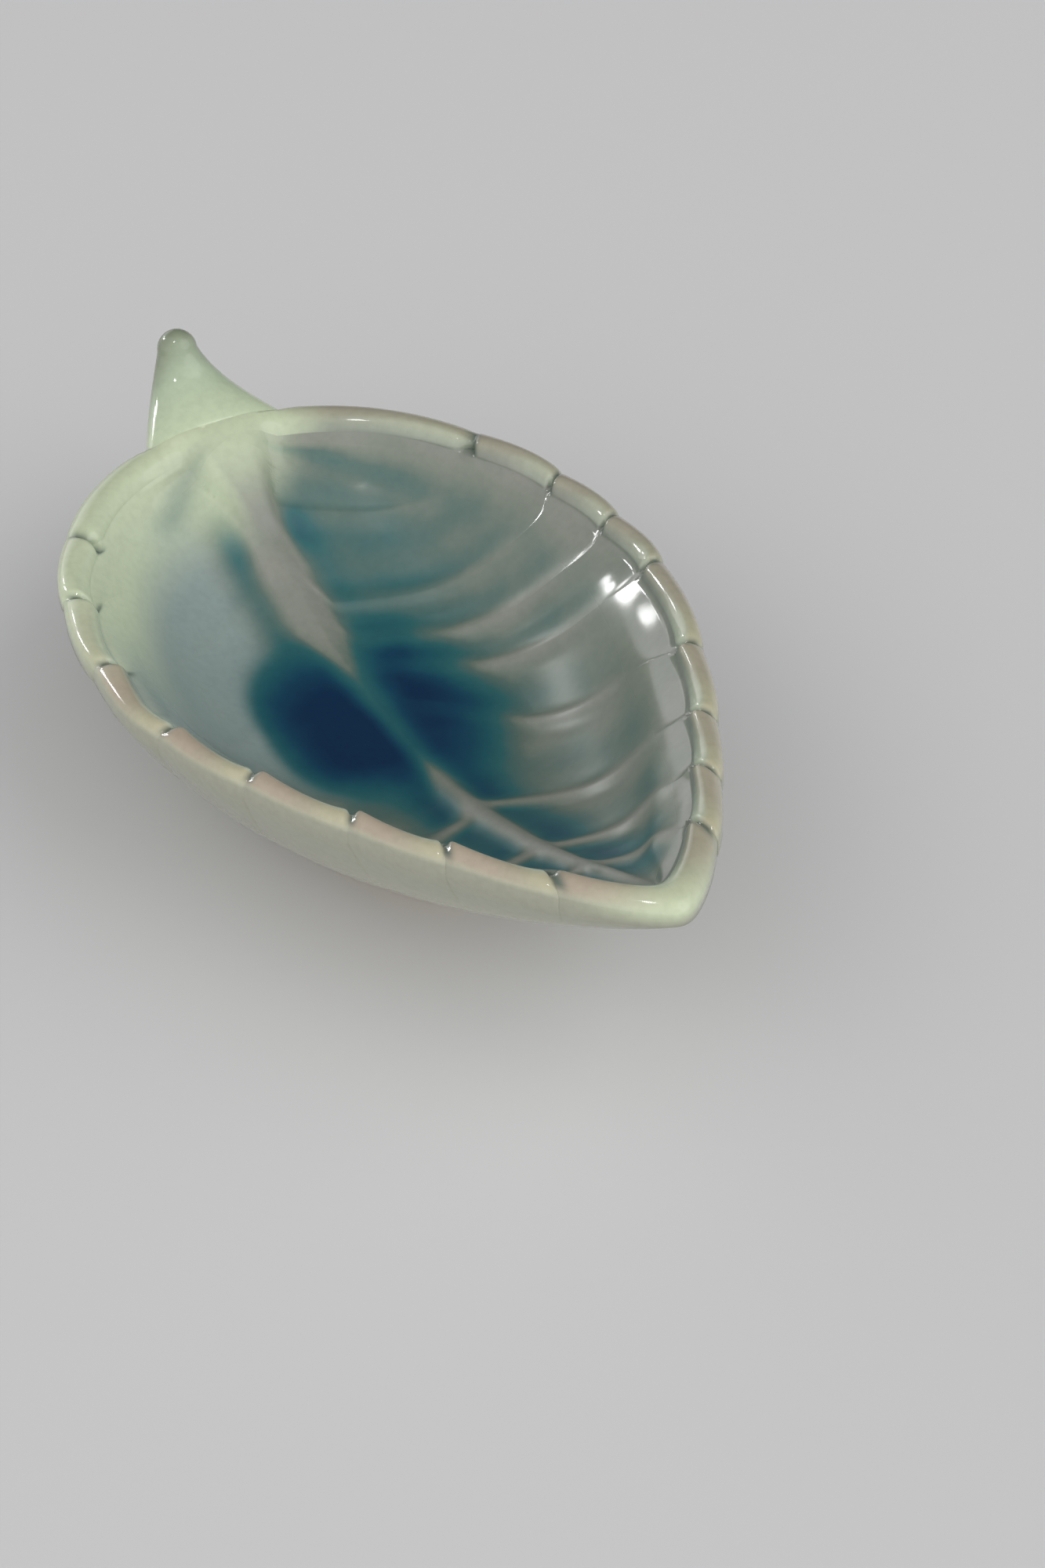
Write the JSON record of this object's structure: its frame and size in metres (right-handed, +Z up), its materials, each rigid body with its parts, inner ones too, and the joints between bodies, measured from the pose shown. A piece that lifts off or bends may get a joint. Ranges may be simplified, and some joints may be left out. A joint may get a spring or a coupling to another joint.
{
  "type": "ring dish",
  "caption": "Small leaf-shaped glazed stoneware dish with a curled stem, a raised midrib and a notched lip, for rings and trinkets.",
  "frame": {"origin": "on the table, under the middle of the dish's bounding box", "axes": "+X along the leaf from the stem to the tip, +Z up"},
  "size_m": [0.1114, 0.0606, 0.028],
  "materials": {
    "bowl_glaze": "glossy grey-green celadon glaze, warm grey on the raised veins and blue-green in the grooves",
    "stem_glaze": "glossy pale green glaze",
    "bare_stoneware": "matt unglazed stoneware",
    "pooled_glaze": "thick glossy dark blue glaze"
  },
  "bodies": {
    "root": {"leaf_bowl": "bowl_glaze", "stem": "stem_glaze", "foot_ring": "bare_stoneware", "pool_left": "pooled_glaze", "pool_right": "pooled_glaze"}
  },
  "joints": []
}
